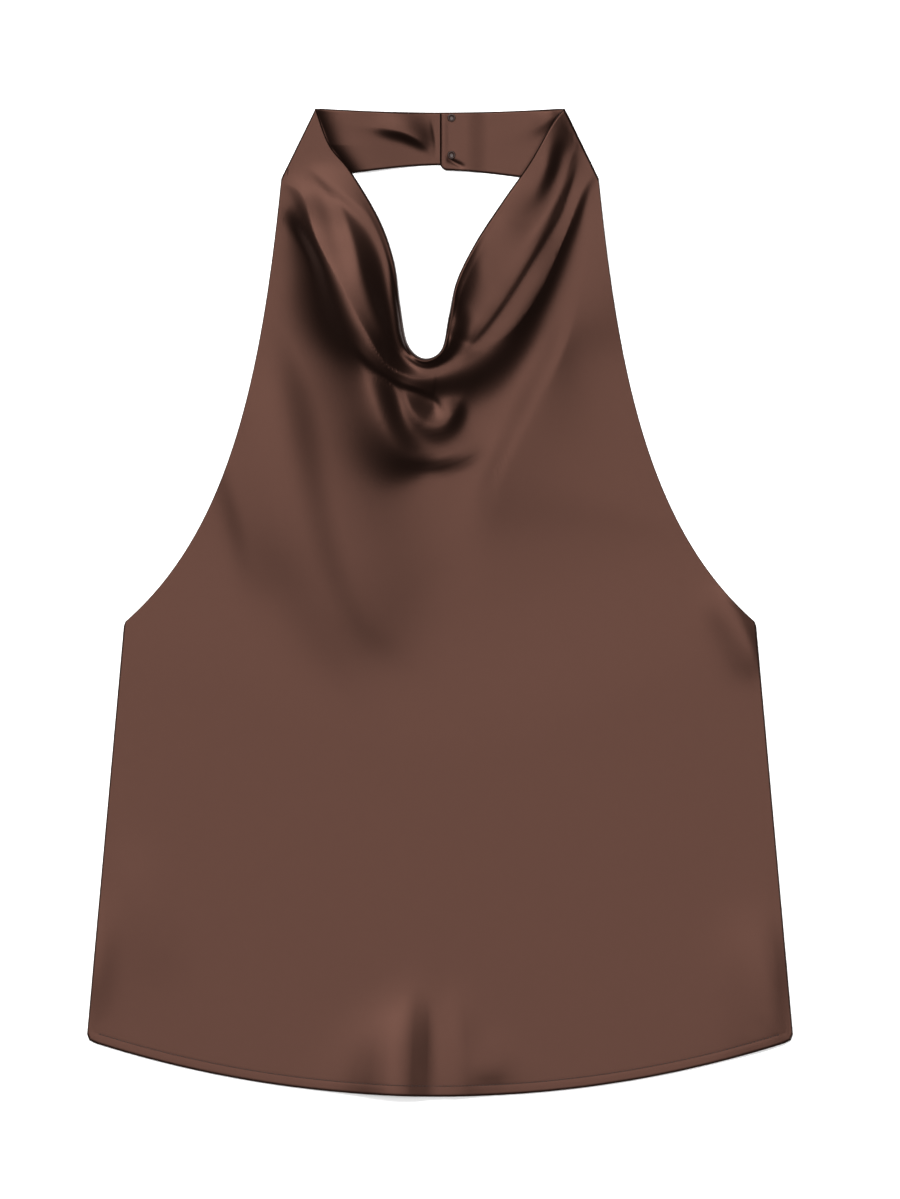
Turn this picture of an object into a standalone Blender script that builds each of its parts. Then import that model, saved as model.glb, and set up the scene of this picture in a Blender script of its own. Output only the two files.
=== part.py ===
"""Backless halter top with a draped cowl neck, laid flat on its back with the front up.

The front is one bias-cut piece.  It hangs from two fold lines at the sides of the neck, and the spare
cloth between them drapes into swags: the cowl.  Behind the neck the two halves of the neckband overlap
and close with two small buttons.  The back panel is low and plain, and joins the front at the sides.

Everything below is in millimetres until a mesh is made.  X runs across the garment, to the right of
somebody who looks down on it, Y runs from the hem to the neck, and Z is up from the surface it lies on.
"""

import bpy
import numpy as np

MM = 0.001

# ---- driving dimensions: the garment as it lies
LENGTH = 672.0              # neck corners to the lowest point of the hem
CHEST = 430.0               # across at the underarms
HEM = 480.0                 # across at the bottom of the side seams
NECK = 169.0                # across the top, between the two neck corners
UNDERARM_Y = -16.0          # top of the side edges
HEM_SAG = 36.0              # how far the hem drops between its corners
HEM_CORNER = 6.5            # size of the rounded hem corners
KNEE = (108.0, 288.0)       # where the fold at the side of the neck ends and the armhole starts
BAND_SAG = 2.8              # how far the neckband's top edge dips at the closure
BAND_HEIGHT_LEFT = 36.0     # the under half of the neckband, at the closure
BAND_HEIGHT_RIGHT = 39.5    # the half that lies over it
BAND_WIDENING = 9.0         # how much further down both halves reach at the sides of the neck
OVERLAP = 16.0              # how far one end of the neckband lies over the other
BACK_TOP_Y = -63.0          # top of the back panel at the side seams
BACK_SCOOP = 62.0           # how far the back panel's top edge drops to its middle
BACK_INSET = 0.8            # the back panel's edges lie this far inside the front's

# ---- cloth
FRONT_WALL = 1.2
BACK_WALL = 1.0
GAP = 0.3                   # between pieces that lie on each other or meet at a seam
STEP_UP = BACK_WALL + GAP   # height of a piece that lies on another
EASE = 16.0                 # the way a piece needs to come down from that height
BACK_EASE = 110.0           # the front comes down more slowly above the back panel
BAND_EASE = 90.0            # and below the neckband

# ---- buttons
BUTTON_DIAMETER = 5.4
BUTTON_THICKNESS = 1.6
BUTTON_INSET = 7.8          # from the overlapping end of the band
BUTTON_FROM_TOP = 3.8       # the upper button's middle, from the band's top edge
BUTTON_FROM_BOTTOM = 10.5   # the lower button's middle, from the band's bottom edge

TOP_Y = LENGTH / 2
HEM_Y = -LENGTH / 2
CORNER = (NECK / 2, TOP_Y)
CLOSURE_X = 0.0

# The neckline from the left neck corner, down round the cowl and up to the right one.
NECKLINE_COLUMNS = ("x", "y")
NECKLINE = (
    (-84.5, 336), (-75, 311), (-60.5, 293), (-41, 260), (-31, 231), (-27, 202), (-22, 176),
    (-11, 166), (1, 172), (6, 195), (11.5, 219), (25, 246), (43.5, 274), (61, 299), (76, 325), (84.5, 336),
)

# Half of the front's grid lines: a distance from the middle of the neckline, as a share of its length,
# against the distance from the middle of the hem at which that grid line ends, as a share of the edge.
GRID_LINES = ((0, 0), (0.035, 0.105), (0.085, 0.205), (0.18, 0.295), (0.285, 0.375), (0.40, 0.445), (0.50, 0.50))

# The cowl's folds.  Each row is a station of a fold's crest.  Stations run anticlockwise round the neck
# opening, so the neckline lies on their left: inner is the fold's width on that side, outer the other.
# A higher flank number gives the outer side a rounder back and a steeper flank.
FOLD_COLUMNS = ("x", "y", "rise", "inner", "outer", "flank")
FOLDS = {
    "cowl_bulge": (
        (-104, 279.1, 0, 20, 12, 2.2), (-82.7, 240, 3.7, 27, 5.3, 2.4), (-51.3, 185, 3, 20, 19.9, 2.5),
        (-16.5, 131.4, 0.5, 20.8, 17.9, 2), (38.7, 157.9, 0.5, 30, 11.7, 2.6), (64.9, 206, -3, 40, 40, 2),
        (102, 280.5, 0, 20, 12, 2.2)),
    "first_swag": (
        (-106.1, 285.9, 0, 9, 4, 1.4), (-92.9, 276.2, 2.5, 14, 8.3, 1.6), (-83.1, 246.8, 9, 30, 12, 1.3),
        (-67, 216, 11, 30, 22, 1.4), (-50.4, 184.5, 10.5, 22, 14, 1.5), (-33.3, 160.2, 6.5, 16, 6, 1.4),
        (-7.5, 153.6, 9, 16, 13, 1.6), (20.5, 166.9, 7.8, 18.1, 18.2, 2.4),
        (47.2, 184.3, 9.7, 15.1, 15.1, 1.5), (67.1, 210.9, 8.9, 14.7, 14.4, 1.1),
        (83.9, 247.5, 5, 14.5, 7.1, 1.3), (96.5, 280.5, 1.5, 17.4, 4.2, 2.1), (106.1, 294.1, 0, 9, 5, 1.4)),
    "inner_left": (
        (-87, 296.8, 0, 10, 6, 1.6), (-69.4, 273.7, 2.2, 20, 7, 1.8), (-58.5, 246.5, 4.6, 24, 9, 1.8),
        (-50.3, 217.3, 5.6, 24, 10, 1.8), (-39.4, 190.1, 4.4, 18, 8, 1.8), (-27.9, 171.7, 1.6, 12, 5, 1.6),
        (-15.6, 163.5, 0, 8, 4, 1.4)),
    "inner_right": (
        (19, 175.8, 0, 10, 3, 1.4), (25.8, 194.6, 7.6, 28.6, 14.6, 2.3), (50.4, 234.2, 12.2, 60, 22.6, 2.5),
        (75, 267.8, 2.4, 60, 3.6, 3), (86.5, 294.9, 2.1, 13.1, 7.4, 1.2), (92.5, 311.1, 0, 10, 3, 1.4)),
    "strip_fold": (
        (45.6, 260.1, 0, 14, 8, 1.6), (52.9, 277.1, 4.5, 33.2, 26.9, 1.9), (65.8, 292.3, 5.9, 60, 9.2, 3),
        (70.7, 311.2, 8.6, 31.9, 13.8, 3), (76.8, 327.9, 5.9, 43.8, 25.6, 1.1), (87, 333.5, 0, 10, 5, 1.6)),
    "second_swag": (
        (-85, 236.3, 0, 18, 16, 1.6), (-74.1, 211.1, 5, 19, 24, 1.6), (-64.6, 187.3, 9, 20, 28, 1.6),
        (-56.4, 167.6, 12, 20, 29, 1.6), (-49, 148.6, 13, 20, 29, 1.6), (-42.2, 129.5, 13, 20, 28, 1.6),
        (-35.4, 115.3, 11.5, 20, 26, 1.6), (-27.9, 105.7, 8.5, 20, 22, 1.6), (-19.7, 100.6, 5, 20, 11, 1.6),
        (-10.2, 97.9, 3.4, 20, 5.5, 1.6), (2, 96.9, 2.6, 20, 4.5, 1.6), (17, 100.3, 1.7, 18, 4.5, 1.6),
        (35.4, 110.5, 0, 16, 5, 1.6)),
    "crease_c": (
        (-59.8, 178.5, 0, 10, 3, 2), (-50.3, 166.9, 1.2, 12, 2.6, 2), (-38.1, 156.7, 1.6, 12, 2.6, 2),
        (-25.8, 149.9, 1.6, 12, 2.6, 2), (-13.6, 145.9, 1.4, 12, 2.6, 2), (-2.7, 140.4, 1, 12, 2.8, 2),
        (4.8, 132.9, 0.5, 10, 3, 2), (8.2, 125.5, 0, 8, 3, 2)),
    "pocket_lobe": (
        (-27.9, 154, 0, 12, 5, 1.8), (-23.1, 141.8, 3.2, 13, 5.5, 1.8), (-17.7, 130.2, 4.8, 13, 6.5, 1.8),
        (-8.8, 122.7, 5.4, 13, 10, 1.8), (0.7, 122.1, 5.2, 13, 10, 1.8), (8.2, 128.9, 4.2, 13, 7, 1.7),
        (14.3, 139.1, 0, 12, 5, 1.6)),
    "chest_crest_right": (
        (35.4, 42.5, 0, 24, 40, 2), (42.7, 83.9, 3.2, 13, 60, 1.1), (64.1, 130.3, 3.6, 13, 32.1, 1.5),
        (85.8, 177.4, 4, 15, 19.3, 1.2), (104, 238.8, 3.6, 23.6, 60, 2), (108.8, 273.7, 0, 14, 30, 2)),
    "chest_drag_left": (
        (-106.1, 185.3, 0, 40, 12, 1.8), (-84, 141.5, 3.6, 34, 20, 2.2), (-70, 86.5, 4.6, 38, 22, 2.2),
        (-56.8, 34, 3.6, 44, 22, 2.3), (-40.8, -7.2, 2, 44, 20, 2.3), (-13.6, -32.3, 0, 50, 14, 1.8)),
    "neck_roll": (
        (-92.5, 297.5, 0, 6, 4, 1.6), (-69.2, 281.5, 1.5, 12.9, 4.9, 2.2), (-47.4, 262, 2.4, 16.8, 6, 2.2),
        (-36.4, 236, 2.6, 16.1, 4.3, 1.5), (-31.6, 202.1, 2.2, 4, 3.6, 1.6), (-26, 175.1, 3, 4, 3.8, 1.7),
        (-12.2, 164.2, 5.5, 8.3, 3.8, 1.4), (0.2, 169.3, 8.5, 8.1, 4.4, 1.4),
        (5.9, 185.9, 11, 14.3, 10.9, 1.9), (9.1, 202.6, 11, 5.4, 9.7, 1.1),
        (11.6, 219.8, 8.5, 6.3, 11.8, 1.6), (18.4, 236.6, 3.5, 7.2, 9, 1.8), (29.2, 251.9, 0, 6, 6, 1.6)),
    "right_crease": (
        (17.7, 173.7, 0, 10, 2.2, 2), (32, 190.7, 0.7, 14, 2.2, 2), (44.2, 207.7, 0.9, 15, 2.2, 2),
        (57.8, 229.5, 1, 16, 2.2, 2), (69.4, 248.5, 0.9, 16, 2.2, 2), (79.6, 265.5, 0.7, 14, 2.2, 2),
        (86.4, 283.9, 0.5, 12, 2.2, 2), (91.1, 300.9, 0, 10, 2.2, 2)),
}
INNER_POWER = 2.0           # how a fold falls away on its inner side: a soft bell
BLEND = 0.35                # how far a crest's points are averaged, as a share of the fold's width
STATION_STEPS = 24          # points worked out between two stations

# ---- mesh sizes
FRONT_COLUMNS = 89
FRONT_ROWS = 30
CREST_ROW = 8               # the row that follows the crest of the first swag
GRID_COLUMNS = 61           # the coarser grid that is evened out first
GRID_ROWS = 21
GRID_ROUNDS = 600
ROW_CROWDING = 1.85         # above 1, the rows outside that crest lie closer together near it
BACK_COLUMNS = 41
BACK_ROWS = 5
BAND_COLUMNS = 15
BAND_ROWS = 5
BUTTON_SIDES = 20

SATIN_BROWN = (0.130, 0.065, 0.047, 1.0)
BUTTON_BROWN = (0.090, 0.042, 0.030, 1.0)


# ---------------------------------------------------------------- curves
def smooth_curve(stations):
    """A Catmull-Rom curve through the stations; every column is carried along with x and y."""
    rows = np.asarray(stations, float)
    rows = np.vstack([2 * rows[0] - rows[1], rows, 2 * rows[-1] - rows[-2]])
    before, start, end, after = rows[:-3, None], rows[1:-2, None], rows[2:-1, None], rows[3:, None]
    t = np.linspace(0, 1, STATION_STEPS, endpoint=False)[None, :, None]
    curve = 0.5 * (
        2 * start
        + (end - before) * t
        + (2 * before - 5 * start + 4 * end - after) * t ** 2
        + (3 * start - before - 3 * end + after) * t ** 3
    )
    return np.vstack([curve.reshape(-1, rows.shape[1]), rows[-2]])


def along(curve, share):
    """Points of a curve at shares of its length, 0 at its start and 1 at its end."""
    steps = np.linalg.norm(np.diff(curve[:, :2], axis=0), axis=1)
    length = np.concatenate([[0.0], np.cumsum(steps)])
    at = np.asarray(share) * length[-1]
    return np.stack([np.interp(at, length, column) for column in curve.T], axis=-1)


def share_of(curve, point):
    """The share of a curve's length at which it comes closest to a point."""
    steps = np.linalg.norm(np.diff(curve, axis=0), axis=1)
    length = np.concatenate([[0.0], np.cumsum(steps)])
    nearest = np.linalg.norm(curve - np.asarray(point), axis=1).argmin()
    return length[nearest] / length[-1]


def bezier(a, b, c, d, count=80):
    """Cubic curve from a to d, leaving towards b and arriving from c."""
    t = np.linspace(0, 1, count)[:, None]
    a, b, c, d = (np.asarray(p, float) for p in (a, b, c, d))
    return (1 - t) ** 3 * a + 3 * t * (1 - t) ** 2 * b + 3 * t ** 2 * (1 - t) * c + t ** 3 * d


def hem_y(x):
    """The hem at x: an arc that drops HEM_SAG between its corners, which are quarters of a circle."""
    half = HEM / 2 - HEM_CORNER
    radius = (half ** 2 + HEM_SAG ** 2) / (2 * HEM_SAG)
    arc = HEM_Y + radius - np.sqrt(radius ** 2 - np.minimum(np.abs(x), half) ** 2)
    past = np.clip((np.abs(x) - half) / HEM_CORNER, 0, 1)
    return arc + HEM_CORNER * (1 - np.sqrt(1 - past ** 2))


SIDE_END_Y = hem_y(HEM / 2)


def side_x(y):
    """Half width of the garment on its straight side edges, from the underarm down."""
    down = (UNDERARM_Y - y) / (UNDERARM_Y - SIDE_END_Y)
    return CHEST / 2 + (HEM - CHEST) / 2 * np.clip(down, 0, 1)


def half_edge():
    """The right half of the front's outer edge, from the knee of the neck fold to the middle of the hem."""
    underarm = (CHEST / 2 - 1, UNDERARM_Y + 3)
    armhole = bezier(KNEE, (121.5, 154.0), (143.0, 49.0), underarm)
    side_y = np.linspace(UNDERARM_Y, SIDE_END_Y, 60)
    side = np.stack([side_x(side_y), side_y], axis=-1)
    corner_x = HEM / 2 - HEM_CORNER * (1 - np.cos(np.linspace(0, np.pi / 2, 8)))
    hem_x = np.concatenate([corner_x, np.linspace(corner_x[-1], 0, 60)[1:]])
    hem = np.stack([hem_x, hem_y(hem_x)], axis=-1)
    return np.vstack([armhole, side, hem[1:]])


def outer_edge():
    """The whole outer edge of the front: left knee, armhole, side, hem, side, armhole, right knee."""
    right = half_edge()
    return np.vstack([right * (-1, 1), right[-2::-1]])


# ---------------------------------------------------------------- the front's grid
def even_out(grid):
    """Slide the inner points of a grid until its lines run evenly and none cross (Winslow's equations)."""
    for _ in range(GRID_ROUNDS):
        across = (grid[2:, 1:-1] - grid[:-2, 1:-1]) / 2
        outward = (grid[1:-1, 2:] - grid[1:-1, :-2]) / 2
        twist = (grid[2:, 2:] - grid[2:, :-2] - grid[:-2, 2:] + grid[:-2, :-2]) / 4
        a = (outward ** 2).sum(-1, keepdims=True)
        b = (across * outward).sum(-1, keepdims=True)
        c = (across ** 2).sum(-1, keepdims=True)
        evened = a * (grid[2:, 1:-1] + grid[:-2, 1:-1]) + c * (grid[1:-1, 2:] + grid[1:-1, :-2]) - 2 * b * twist
        grid[1:-1, 1:-1] += 0.9 * (evened / (2 * (a + c)) - grid[1:-1, 1:-1])
    return grid


def front_plan():
    """The front seen from above: columns fan out from the neckline, rows run round it like swags."""
    neckline = smooth_curve(NECKLINE)
    edge = outer_edge()
    half = np.asarray(GRID_LINES)
    lines = np.vstack([0.5 - half[:0:-1], 0.5 + half])
    place = lines.mean(axis=1)
    u = np.linspace(0, 1, GRID_COLUMNS)
    inner = along(neckline, np.interp(u, place, lines[:, 0]))
    outer = along(edge, np.interp(u, place, lines[:, 1]))
    v = np.linspace(0, 1, GRID_ROWS)[None, :, None]
    coarse = even_out(inner[:, None] * (1 - v) + outer[:, None] * v)

    u = np.linspace(0, 1, FRONT_COLUMNS)
    rings = np.stack([along_index(coarse[:, j], u) for j in range(GRID_ROWS)], axis=1)
    # the two boundary rows are taken from the curves themselves, with a column on each corner
    rings[:, 0] = along(neckline, np.interp(u, place, lines[:, 0]))
    ends = np.interp(u, place, lines[:, 1])
    taken = []
    for corner in edge_corners():
        for point in (corner, (-corner[0], corner[1])):
            share = share_of(edge, point)
            distance = np.abs(ends - share)
            distance[taken] = 1
            taken.append(distance.argmin())
            ends[taken[-1]] = share
    rings[:, -1] = along(edge, np.sort(ends))
    crest = smooth_curve(FOLDS["first_swag"])[:, :2]
    return np.stack([along(line, row_shares(line, crest)) for line in rings])


def row_shares(line, crest):
    """Shares of a grid line at which the rows cross it: one row follows the first swag's crest."""
    shares = np.linspace(0, 1, 200)
    distance = np.linalg.norm(along(line, shares)[:, None] - crest, axis=-1).min(axis=1)
    at_crest = np.clip(shares[distance.argmin()], 0.02, 0.8)
    inside = at_crest * np.linspace(0, 1, CREST_ROW + 1)
    outside = at_crest + (1 - at_crest) * np.linspace(0, 1, FRONT_ROWS - CREST_ROW) ** ROW_CROWDING
    return np.concatenate([inside, outside[1:]])


def along_index(points, u):
    """Points between the members of a list, u from 0 at the first to 1 at the last."""
    at = u * (len(points) - 1)
    return np.stack([np.interp(at, np.arange(len(points)), column) for column in points.T], axis=-1)


def edge_corners():
    """Points of the right edge where the outline turns."""
    hem_start = HEM / 2 - HEM_CORNER
    return (CHEST / 2, UNDERARM_Y), (HEM / 2, SIDE_END_Y), (hem_start, hem_y(hem_start))


# ---------------------------------------------------------------- heights
def ease_step(x):
    """0 below 0, 1 above 1, and a soft step between."""
    x = np.clip(x, 0, 1)
    return x * x * (3 - 2 * x)


def back_top_y(x):
    """Top edge of the back panel: highest at the side seams, lowest in the middle."""
    return BACK_TOP_Y - BACK_SCOOP * np.cos(np.clip(x / (CHEST / 2), -1, 1) * np.pi / 2) ** 2


def resting_height(plan):
    """Height of the front's underside where it lies flat: on the back panel, the neckband or the floor."""
    x, y = plan[..., 0], plan[..., 1]
    above_back = y - back_top_y(x)
    below_band = band_edges(KNEE[0], BAND_HEIGHT_RIGHT)[1] - y
    on_back = ease_step(1 - (above_back - EASE) / BACK_EASE)
    on_band = ease_step(1 - below_band / BAND_EASE)
    return STEP_UP * np.maximum(on_back, on_band)


def fold_height(plan, stations):
    """Height that one fold adds: its rise, falling off with the distance from the crest line.

    Each point takes the mean over the crest's points, weighted towards the nearest ones, of the height
    that a straight fold through that crest point would give it.
    """
    crest = smooth_curve(stations)
    heading = np.gradient(crest[:, :2], axis=0)
    heading /= np.linalg.norm(heading, axis=1)[:, None]
    rise, inner, outer, flank = (crest[:, FOLD_COLUMNS.index(name)] for name in FOLD_COLUMNS[2:])
    away = plan[..., None, :] - crest[:, :2]
    offset = heading[:, 0] * away[..., 1] - heading[:, 1] * away[..., 0]
    width = np.where(offset > 0, inner, outer)
    power = np.where(offset > 0, INNER_POWER, flank)
    squared = (away ** 2).sum(-1)
    reach = BLEND * (inner + outer) / 2
    weight = np.exp((squared.min(-1, keepdims=True) - squared) / (2 * reach ** 2))
    height = rise * np.exp(-(np.abs(offset) / width) ** power)
    return (weight * height).sum(-1) / weight.sum(-1)


def front_surface():
    """Points of the front's underside."""
    plan = front_plan()
    folds = sum(fold_height(plan, stations) for stations in FOLDS.values())
    height = resting_height(plan) + np.maximum(folds, 0)
    return np.concatenate([plan, height[..., None]], axis=-1)


# ---------------------------------------------------------------- meshes
def surface_normals(points):
    """Unit normals of a grid of points, turned upwards."""
    normals = np.cross(np.gradient(points, axis=0), np.gradient(points, axis=1))
    normals *= np.sign(normals[..., 2:])
    return normals / np.linalg.norm(normals, axis=-1, keepdims=True)


def cloth_wall(name, underside, wall, material):
    """A closed wall of even thickness whose lower face is the given grid of points.

    Each cell is split along the diagonal whose ends differ less in height, which keeps the folds clean.
    """
    topside = underside + surface_normals(underside) * wall
    columns, rows = underside.shape[:2]
    low = np.arange(columns * rows).reshape(columns, rows)
    a, b, c, d = low[:-1, :-1], low[1:, :-1], low[1:, 1:], low[:-1, 1:]
    z = underside[..., 2].ravel()
    first = (np.abs(z[a] - z[c]) <= np.abs(z[b] - z[d]))[..., None]
    one = np.where(first, np.stack([a, b, c], -1), np.stack([a, b, d], -1)).reshape(-1, 3)
    two = np.where(first, np.stack([a, c, d], -1), np.stack([b, c, d], -1)).reshape(-1, 3)
    cells = np.concatenate([one, two])
    corner, next_u, next_v = underside[0, 0], underside[1, 0], underside[0, 1]
    if np.cross(next_u - corner, next_v - corner)[2] < 0:
        cells = cells[:, ::-1]
    lift = columns * rows
    rim = np.concatenate([low[:, 0], low[-1, 1:], low[-2::-1, -1], low[0, -2:0:-1]])
    if np.cross(next_u - corner, next_v - corner)[2] < 0:
        rim = rim[::-1]
    after = np.roll(rim, -1)
    sides = np.stack([rim, after, after + lift, rim + lift], -1)
    faces = (cells + lift).tolist() + cells[:, ::-1].tolist() + sides.tolist()
    points = np.concatenate([underside.reshape(-1, 3), topside.reshape(-1, 3)])
    return add_object(name, points, faces, material)


def add_object(name, points, faces, material):
    """A smooth-shaded mesh object made from points in millimetres."""
    mesh = bpy.data.meshes.new(name)
    mesh.from_pydata((points * MM).tolist(), [], faces)
    mesh.shade_smooth()
    mesh.set_sharp_from_angle(angle=np.radians(50))
    mesh.materials.append(material)
    item = bpy.data.objects.new(name, mesh)
    bpy.context.scene.collection.objects.link(item)
    return item


def principled(name, color, roughness, metallic):
    """A plain Principled material."""
    material = bpy.data.materials.new(name)
    material.use_nodes = True
    shader = material.node_tree.nodes["Principled BSDF"]
    shader.inputs["Base Color"].default_value = color
    shader.inputs["Roughness"].default_value = roughness
    shader.inputs["Metallic"].default_value = metallic
    return material


# ---------------------------------------------------------------- pieces
def make_front(satin):
    """The cowl front, cut in one with the two strips that rise to the sides of the neck."""
    return cloth_wall("front_panel", front_surface(), FRONT_WALL, satin)


def make_back(satin):
    """The low back panel, flat on the surface, with a scooped top edge."""
    across = np.linspace(-1, 1, BACK_COLUMNS)[:, None]
    down = np.linspace(0, 1, BACK_ROWS)[None, :]
    x_top = (side_x(BACK_TOP_Y) - BACK_INSET) * across
    x_bottom = (HEM / 2 - BACK_INSET) * np.sin(across * np.pi / 2)
    y_top, y_bottom = back_top_y(x_top), hem_y(x_bottom) + BACK_INSET
    x = x_top * (1 - down) + x_bottom * down
    y = y_top * (1 - down) + y_bottom * down
    return cloth_wall("back_panel", np.stack([x, y, np.zeros_like(x)], axis=-1), BACK_WALL, satin)


def band_edges(x, height):
    """Top and bottom edges of half of the neckband at x, from its height at the closure."""
    outward = np.abs(x) / CORNER[0]
    top = TOP_Y - BAND_SAG * (1 - outward ** 2)
    bottom = TOP_Y - BAND_SAG - height - BAND_WIDENING * ease_step(outward / 1.25)
    return top, bottom


def make_band(name, side, height, lifted, satin):
    """Half of the neckband, from the fold at the side of the neck to the closure.

    side is -1 on the left and +1 on the right.  The lifted half ends on the other one's end.
    """
    end_x = CLOSURE_X if lifted else CLOSURE_X + OVERLAP
    seam_top_x, seam_bottom_x = CORNER[0] - GAP, KNEE[0] - 2
    v = np.linspace(0, 1, BAND_ROWS)[None, :]
    u = np.linspace(0, 1, BAND_COLUMNS)[:, None]
    start_x = side * (seam_top_x * (1 - v) + seam_bottom_x * v)
    x = start_x * (1 - u) + end_x * u
    top, bottom = band_edges(x, height)
    y = np.minimum(top, CORNER[1] - GAP) * (1 - v) + bottom * v
    z = np.zeros_like(x)
    if lifted:
        z = STEP_UP * ease_step(1 + (OVERLAP + 1 - side * x) / EASE)
    return cloth_wall(name, np.stack([x, y, z], axis=-1), BACK_WALL, satin)


def make_button(name, x, y, z, material):
    """A small round button: a turned profile with a rounded rim, standing on its flat back."""
    radius = BUTTON_DIAMETER / 2
    profile = np.array([
        (0.0, 0.0), (radius * 0.86, 0.0), (radius, BUTTON_THICKNESS * 0.3),
        (radius * 0.94, BUTTON_THICKNESS * 0.75), (radius * 0.7, BUTTON_THICKNESS), (0.0, BUTTON_THICKNESS * 0.92),
    ])
    turn = np.arange(BUTTON_SIDES) * 2 * np.pi / BUTTON_SIDES
    rings = profile[1:-1]
    ring_points = np.stack([
        rings[:, None, 0] * np.cos(turn), rings[:, None, 0] * np.sin(turn),
        np.broadcast_to(rings[:, 1:], (len(rings), BUTTON_SIDES)),
    ], axis=-1)
    points = np.concatenate([ring_points.reshape(-1, 3), [(0, 0, profile[0, 1]), (0, 0, profile[-1, 1])]])
    index = np.arange(len(rings) * BUTTON_SIDES).reshape(len(rings), BUTTON_SIDES)
    after = np.roll(index, -1, axis=1)
    faces = np.stack([index[:-1], after[:-1], after[1:], index[1:]], axis=-1).reshape(-1, 4).tolist()
    bottom, top = len(points) - 2, len(points) - 1
    faces += [[bottom, b, a] for a, b in zip(index[0].tolist(), after[0].tolist())]
    faces += [[top, a, b] for a, b in zip(index[-1].tolist(), after[-1].tolist())]
    return add_object(name, points + (x, y, z), faces, material)


def main():
    for item in list(bpy.data.objects):
        bpy.data.objects.remove(item)
    satin = principled("brown_satin", SATIN_BROWN, 0.42, 0.0)
    button = principled("button_brown", BUTTON_BROWN, 0.35, 0.0)

    make_front(satin)
    make_back(satin)
    make_band("neckband_left", -1, BAND_HEIGHT_LEFT, False, satin)
    make_band("neckband_right", 1, BAND_HEIGHT_RIGHT, True, satin)

    button_x = CLOSURE_X + BUTTON_INSET
    top, bottom = band_edges(button_x, BAND_HEIGHT_RIGHT)
    button_z = STEP_UP + BACK_WALL + GAP
    make_button("button_upper", button_x, top - BUTTON_FROM_TOP, button_z, button)
    make_button("button_lower", button_x, bottom + BUTTON_FROM_BOTTOM, button_z, button)


main()
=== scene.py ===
"""Backless halter top with a draped cowl neck, laid flat on a pale surface with its front up.

The front is one bias-cut piece of brown satin.  It hangs from the two sides of the neck, and the spare
cloth between them drapes into swags: the cowl.  A narrow neckband closes behind the neck with two small
buttons, and a low back panel joins the front at the side seams.

Forms are worked out in millimetres and turned into metres where a mesh is made.  X runs across the
garment, Y from the hem to the neck, and Z up from the surface it lies on.
"""

import bpy
import numpy as np
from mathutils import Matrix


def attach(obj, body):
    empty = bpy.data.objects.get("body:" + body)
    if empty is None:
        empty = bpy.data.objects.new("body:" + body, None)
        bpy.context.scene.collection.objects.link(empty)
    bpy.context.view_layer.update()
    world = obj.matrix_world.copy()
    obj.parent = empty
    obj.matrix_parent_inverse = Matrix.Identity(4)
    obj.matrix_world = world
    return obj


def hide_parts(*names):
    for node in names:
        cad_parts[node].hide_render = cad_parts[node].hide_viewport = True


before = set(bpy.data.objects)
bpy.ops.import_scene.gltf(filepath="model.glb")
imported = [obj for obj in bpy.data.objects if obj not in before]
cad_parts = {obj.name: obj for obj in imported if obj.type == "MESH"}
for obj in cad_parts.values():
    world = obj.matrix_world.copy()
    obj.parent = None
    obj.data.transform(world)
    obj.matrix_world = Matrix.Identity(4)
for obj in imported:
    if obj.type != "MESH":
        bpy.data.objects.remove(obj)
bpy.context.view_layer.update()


# ================================================================ cowl front
# One piece of satin, cut on the bias in one with the two strips that rise to the sides of the neck.
# Its neckline is turned in, its lower edge is a narrow stitched hem, and the spare cloth between the
# strips falls into swags, stacked like steps from the neckline down.

MM = 0.001

LENGTH = 672.0              # neck corners to the lowest point of the hem
CHEST = 430.0               # across at the underarms
HEM = 480.0                 # across at the bottom of the side seams
NECK = 169.0                # across the top, between the two neck corners
UNDERARM_Y = -16.0          # top of the side edges
HEM_SAG = 36.0              # how far the hem drops between its corners
HEM_CORNER = 6.5            # size of the rounded hem corners
KNEE = (108.0, 288.0)       # where the fold at the side of the neck ends and the armhole starts
ARMHOLE = ((121.5, 154.0), (143.0, 49.0))   # the two points that draw the armhole's curve inwards
TOP_Y = LENGTH / 2
HEM_Y = -LENGTH / 2
CORNER = (NECK / 2, TOP_Y)

BAND_SAG = 2.8              # how far the neckband's top edge dips at the closure
BAND_HEIGHT_LEFT = 36.0     # the under half of the neckband, at the closure
BAND_HEIGHT_RIGHT = 39.5    # the half that lies over it
BAND_WIDENING = 9.0         # how much further down both halves reach at the sides of the neck
BAND_WIDE_AT = 1.25         # where they do so, as a share of half the neck's width
BACK_TOP_Y = -63.0          # top of the back panel at the side seams
BACK_SCOOP = 62.0           # how far the back panel's top edge drops to its middle
BACK_INSET = 0.8            # the back panel's edges lie this far inside the front's

FRONT_TOP = 1.2             # top face of the front, above the surface it rests on
BACK_TOP = 1.0
STEP_UP = 1.3               # height of a piece that lies on another
EASE = 16.0                 # the way a piece needs to come down from that height
BAND_EASE = 90.0            # the front comes down more slowly below the neckband
BACK_EASE = 110.0           # the front comes down more slowly above the back panel
SATIN_WALL = 0.7            # the satin with the folded edge under it

# The neckline's x and y, from the left neck corner, down round the cowl and up to the right one.
NECKLINE = (
    (-84.5, 336), (-75, 311), (-60.5, 293), (-41, 260), (-31, 231), (-27, 202), (-22, 176),
    (-11, 166), (1, 172), (6, 195), (11.5, 219), (25, 246), (43.5, 274), (61, 299), (76, 325), (84.5, 336),
)

# Half of the front's grid lines: a distance from the middle of the neckline, as a share of its length,
# against the distance from the middle of the hem at which that grid line ends, as a share of the edge.
GRID_LINES = (
    (0, 0), (0.035, 0.105), (0.085, 0.205), (0.18, 0.295), (0.285, 0.375), (0.40, 0.445), (0.50, 0.50),
)

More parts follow.
